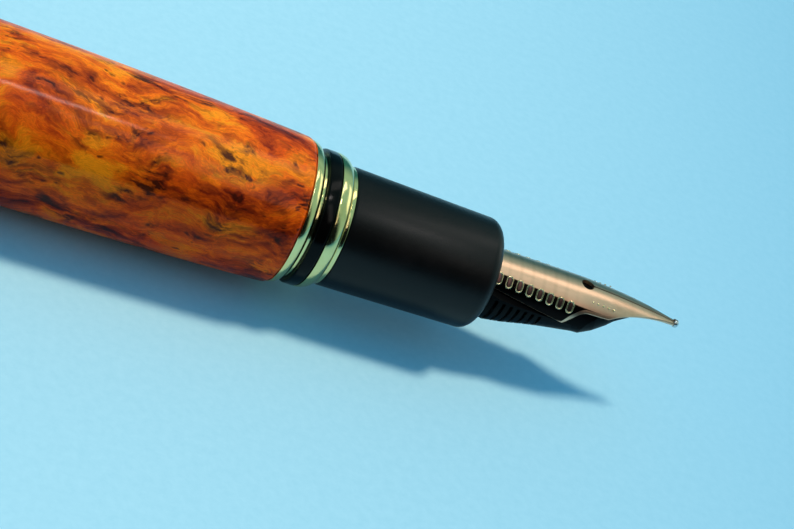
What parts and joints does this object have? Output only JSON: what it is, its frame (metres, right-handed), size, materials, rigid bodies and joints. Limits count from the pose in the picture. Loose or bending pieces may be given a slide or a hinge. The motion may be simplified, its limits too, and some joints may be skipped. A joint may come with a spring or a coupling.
{
  "type": "fountain pen",
  "caption": "Turned-wood fountain pen: bent-sheet nib over a finned feed, screw-in grip section, screw-piston ink converter and a cap with a clip, posted on the rear.",
  "frame": {"origin": "on the pen's axis, at the middle of the cap's centre band", "axes": "+X along the pen's axis towards the nib's point, +Z out of the top of the nib, +Y to the left of the nib as the writer sees it"},
  "size_m": [0.1572, 0.0158, 0.0146],
  "materials": {
    "burl_wood": "lacquered burl, high gloss",
    "brass_tube": "raw brass",
    "gold_trim": "polished gold plate",
    "gloss_black": "polished black",
    "satin_black": "satin moulded black",
    "feed_black": "moulded black",
    "nib_metal": "polished warm steel",
    "tip_metal": "polished hard alloy",
    "clear_plastic": "clear",
    "bright_metal": "bright plate",
    "seal_rubber": "smooth"
  },
  "bodies": {
    "barrel": {"barrel_wood": "burl_wood", "barrel_tube": "brass_tube", "barrel_trim_ring": "gold_trim", "barrel_coupler": "gloss_black", "rear_trim_ring": "gold_trim", "rear_post": "gloss_black"},
    "cap": {"cap_wood": "burl_wood", "cap_tube": "brass_tube", "cap_band": "gold_trim", "cap_lip_ring": "gold_trim", "inner_cap": "satin_black", "cap_bushing": "brass_tube", "cap_top_ring": "gold_trim", "clip_collar": "gold_trim", "cap_finial": "gold_trim", "finial_jewel": "gloss_black"},
    "clip": {"clip_arm": "gold_trim"},
    "section_ring": {"section_trim_ring": "gold_trim"},
    "section": {"section_grip": "satin_black", "section_tenon": "satin_black"},
    "nib_unit": {"nib_housing": "satin_black"},
    "nib_and_feed": {"nib": "nib_metal", "nib_tip": "tip_metal", "feed": "feed_black"},
    "converter": {"converter_mouth": "gloss_black", "converter_tube": "clear_plastic", "converter_band": "bright_metal", "rod_guide": "gloss_black", "agitator_ball": "bright_metal"},
    "knob": {"converter_knob": "gloss_black", "drive_nut": "brass_tube"},
    "piston": {"piston_rod": "satin_black", "piston_seal": "seal_rubber"}
  },
  "joints": [
    {"name": "cap_pull", "type": "slide", "parent": "barrel", "child": "cap", "axis": [-1, 0, 0], "range_m": [0, 0.018]},
    {"name": "clip_lift", "type": "hinge", "parent": "cap", "child": "clip", "pos_m": [-0.0465, -0.00656, -0.00541], "axis": [0, 0.6359, -0.7718], "range_deg": [0, 4], "stiffness_Nm_per_rad": 2, "springref_deg": -1.15},
    {"name": "section_draw", "type": "slide", "parent": "barrel", "child": "section_ring", "axis": [1, 0, 0], "range_m": [0, 0.055]},
    {"name": "section_turn", "type": "hinge", "parent": "section_ring", "child": "section", "pos_m": [0.07255, 0, 0], "axis": [1, 0, 0], "range_deg": [0, 2160]},
    {"name": "nib_unit_draw", "type": "slide", "parent": "section", "child": "nib_unit", "axis": [1, 0, 0], "range_m": [0, 0.018]},
    {"name": "nib_pull", "type": "slide", "parent": "nib_unit", "child": "nib_and_feed", "axis": [1, 0, 0], "range_m": [0, 0.01]},
    {"name": "converter_pull", "type": "slide", "parent": "section", "child": "converter", "axis": [-1, 0, 0], "range_m": [0, 0.0065]},
    {"name": "knob_turn", "type": "hinge", "parent": "converter", "child": "knob", "pos_m": [0.04145, 0, 0], "axis": [1, 0, 0], "range_deg": [0, 1321]},
    {"name": "piston_slide", "type": "slide", "parent": "converter", "child": "piston", "axis": [-1, 0, 0], "range_m": [0, 0.011]}
  ],
  "couplings": [
    {"joint": "knob_turn", "follows": "piston_slide", "rad_per_m": 2094.4}
  ]
}
